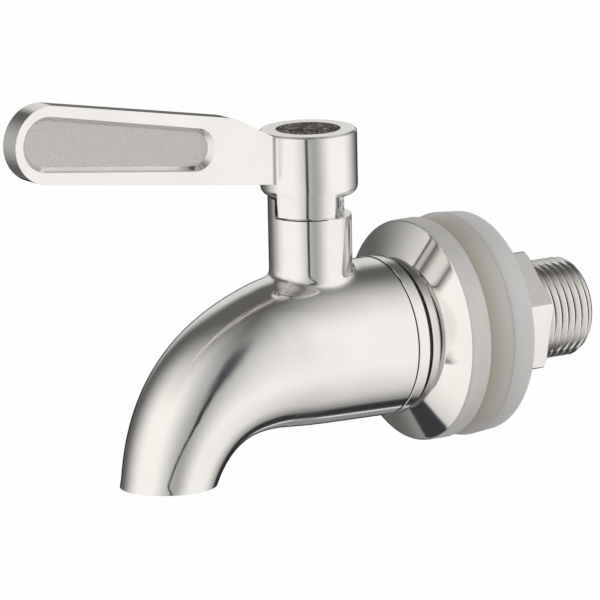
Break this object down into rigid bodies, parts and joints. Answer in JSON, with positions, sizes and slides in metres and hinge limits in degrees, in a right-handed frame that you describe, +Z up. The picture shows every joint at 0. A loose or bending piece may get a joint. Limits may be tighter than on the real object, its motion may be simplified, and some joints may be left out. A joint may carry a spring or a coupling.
{
  "type": "beverage dispenser spigot",
  "caption": "Quarter-turn ball valve spigot with a curved tapering spout, flag lever, dished flange, sealing washers and a threaded tail with a hexagon nut.",
  "frame": {"origin": "centre of the flange's rear sealing face, on the axis of the threaded tail", "axes": "+X along the tail into the tank, the spout and the lever point to -X, +Z up along the valve's stem"},
  "size_m": [0.1102, 0.0376, 0.0669],
  "materials": {
    "body_steel": "satin-polished casting",
    "tail_steel": "turned and polished",
    "flange_steel": "mirror-polished",
    "handle_steel": "satin-polished casting, frosted panel",
    "nut_steel": "polished",
    "ball_steel": "mirror-polished",
    "stem_steel": "turned",
    "screw_steel": "dark",
    "cap_metal": "rough, as cast",
    "washer_silicone": "milky translucent silicone",
    "seal_rubber": "matt",
    "seat_plastic": "white fluoropolymer"
  },
  "bodies": {
    "spout_body": {"spigot_body": "body_steel", "tail_nipple": "tail_steel", "tail_seal_ring": "seal_rubber", "front_seat": "seat_plastic", "rear_seat": "seat_plastic", "thrust_washer": "seat_plastic", "guide_bush": "seat_plastic", "flange": "flange_steel", "front_washer": "washer_silicone", "rear_washer": "washer_silicone", "mounting_nut": "nut_steel"},
    "lever": {"handle": "handle_steel", "handle_cap": "cap_metal", "handle_screw": "screw_steel", "spring_washer": "stem_steel", "valve_stem": "stem_steel", "valve_ball": "ball_steel", "lower_stem_seal": "seal_rubber", "upper_stem_seal": "seal_rubber"}
  },
  "joints": [
    {"name": "lever_turn", "type": "hinge", "parent": "spout_body", "child": "lever", "pos_m": [-0.0234, 0, 0.0224], "axis": [0, 0, 1], "range_deg": [0, 90]}
  ]
}
